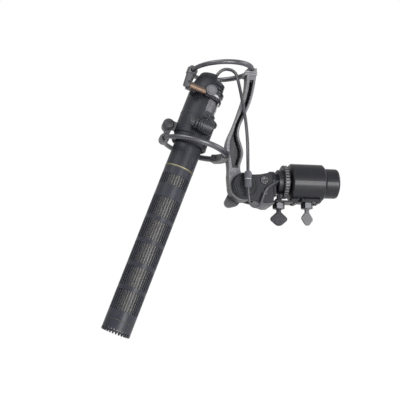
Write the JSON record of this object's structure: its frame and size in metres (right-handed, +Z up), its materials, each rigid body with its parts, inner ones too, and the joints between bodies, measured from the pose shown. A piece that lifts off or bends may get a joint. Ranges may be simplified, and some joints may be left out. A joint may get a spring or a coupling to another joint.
{
  "type": "boom pole microphone mount",
  "caption": "Slotted shotgun microphone held by elastic hoops on a curved arm, with a tilt hub, a panning collar and a threaded spigot that takes a boom pole.",
  "frame": {"origin": "centre of the spigot's outer end face, where the pole screws in", "axes": "+X along the spigot towards the pole, +Z up"},
  "size_m": [0.1726, 0.0508, 0.2005],
  "materials": {
    "black_anodised": "satin black anodised",
    "adapter_black": "glossy black anodised",
    "steel_bright": "bright turned",
    "nut_dark": "blackened",
    "brass_bush": "machined",
    "wing_textured": "pebbled",
    "wing_grey": "smooth satin",
    "arm_grey": "fine grain",
    "head_black": "moulded satin",
    "guard_grey": "satin",
    "collar_black": "ribbed satin",
    "rubber_black": "matt",
    "hoop_elastic": "smooth matt",
    "tube_black": "satin lacquer",
    "mic_black": "satin lacquer",
    "gold": "pale satin gold",
    "mesh_dark": "woven",
    "capsule_metal": "turned",
    "board_green": "lacquered",
    "insert_black": "moulded",
    "pin_gold": "plated",
    "housing_black": "satin moulded",
    "barrel_grey": "satin",
    "band_grey": "satin",
    "copper": "copper plated",
    "disc_grey": "turned",
    "elbow_grey": "satin",
    "cable_black": "smooth jacket",
    "join_grey": "moulded"
  },
  "bodies": {
    "spigot_body": {"spigot": "adapter_black", "thread_bush": "brass_bush"},
    "sleeve_body": {"sleeve": "adapter_black", "outer_clamp_plate": "adapter_black", "inner_clamp_plate": "adapter_black", "clamp_plate_screws": "nut_dark", "clamp_nuts": "nut_dark"},
    "outer_wing": {"outer_wing_screw": "wing_grey"},
    "inner_wing": {"inner_wing_screw": "wing_textured"},
    "head": {"knuckle": "head_black", "knuckle_screws": "nut_dark", "neck_circlip": "steel_bright", "grip_collar": "collar_black", "knuckle_guard": "guard_grey", "friction_washers": "insert_black", "hub_cap": "head_black", "tilt_bolt": "steel_bright", "bolt_nut": "nut_dark", "microphone_cable": "cable_black", "cable_socket": "join_grey", "cable_plug": "join_grey", "pigtail_lead": "cable_black"},
    "lever": {"tilt_lever": "guard_grey"},
    "arm_body": {"arm": "arm_grey", "upper_hoop": "hoop_elastic", "lower_hoop": "hoop_elastic", "arm_top_clip": "arm_grey", "lower_hoop_bracket": "elbow_grey", "arm_pin": "nut_dark"},
    "cradle": {"interference_tube": "tube_black", "acoustic_liner": "mesh_dark", "front_screen": "mesh_dark", "gold_band": "gold", "capsule_seat": "rubber_black", "capsule": "capsule_metal", "microphone_body": "mic_black", "preamp_board": "board_green", "pin_insert": "insert_black", "connector_pins": "pin_gold", "housing_ring": "housing_black", "rubber_lining": "rubber_black", "half_shell": "housing_black", "plug_barrel": "barrel_grey", "socket_insert": "insert_black", "plug_grip_ring": "black_anodised", "plug_bright_band": "band_grey", "plug_back_ring": "black_anodised", "plug_cap": "mic_black", "cable_boot": "rubber_black", "clamp_spacer": "copper", "shell_ears": "housing_black", "upper_clamp_disc": "disc_grey", "lower_clamp_barrel": "black_anodised", "latch_pin": "steel_bright", "upper_elbow": "elbow_grey", "lower_elbow": "elbow_grey"},
    "coupling": {"coupling_ring": "black_anodised"},
    "upper_screw": {"upper_clamp_screw": "nut_dark"},
    "lower_knob": {"lower_clamp_knob": "black_anodised"},
    "side_knob": {"elbow_knob": "black_anodised"}
  },
  "joints": [
    {"name": "sleeve_turn", "type": "hinge", "parent": "spigot_body", "child": "sleeve_body", "pos_m": [-0.02, 0, 0], "axis": [1, 0, 0], "continuous": true},
    {"name": "head_pan", "type": "hinge", "parent": "sleeve_body", "child": "head", "pos_m": [-0.034, 0, 0], "axis": [1, 0, 0], "continuous": true},
    {"name": "arm_tilt", "type": "hinge", "parent": "head", "child": "arm_body", "pos_m": [-0.072, 0, -0.0051], "axis": [0, 1, 0], "range_deg": [-75, 20], "deforming": ["microphone_cable"]},
    {"name": "suspension_bounce", "type": "slide", "parent": "arm_body", "child": "cradle", "axis": [0, 0, 1], "range_m": [-0.0025, 0.0025], "stiffness_N_per_m": 2500, "deforming": ["upper_hoop", "lower_hoop"]},
    {"name": "lever_swing", "type": "hinge", "parent": "head", "child": "lever", "pos_m": [-0.072, 0, -0.0051], "axis": [0, 1, 0], "range_deg": [-40, 80]},
    {"name": "outer_wing_turn", "type": "hinge", "parent": "sleeve_body", "child": "outer_wing", "pos_m": [-0.0232, 0, -0.018], "axis": [0, 0, 1], "range_deg": [-90, 90]},
    {"name": "inner_wing_turn", "type": "hinge", "parent": "sleeve_body", "child": "inner_wing", "pos_m": [-0.0446, 0, -0.018], "axis": [0, 0, 1], "range_deg": [-90, 90]},
    {"name": "coupling_turn", "type": "hinge", "parent": "cradle", "child": "coupling", "pos_m": [-0.10281, 0, 0.04813], "axis": [0.3535, 0, 0.9354], "continuous": true},
    {"name": "upper_screw_turn", "type": "hinge", "parent": "cradle", "child": "upper_screw", "pos_m": [-0.10778, -0.0168, 0.06326], "axis": [0.9354, 0, -0.3535], "range_deg": [-180, 180]},
    {"name": "lower_knob_turn", "type": "hinge", "parent": "cradle", "child": "lower_knob", "pos_m": [-0.11093, -0.0188, 0.03794], "axis": [0.9354, 0, -0.3535], "range_deg": [-180, 180]},
    {"name": "side_knob_turn", "type": "hinge", "parent": "cradle", "child": "side_knob", "pos_m": [-0.12711, -0.005, 0.03871], "axis": [0, 1, 0], "range_deg": [-180, 180]}
  ]
}
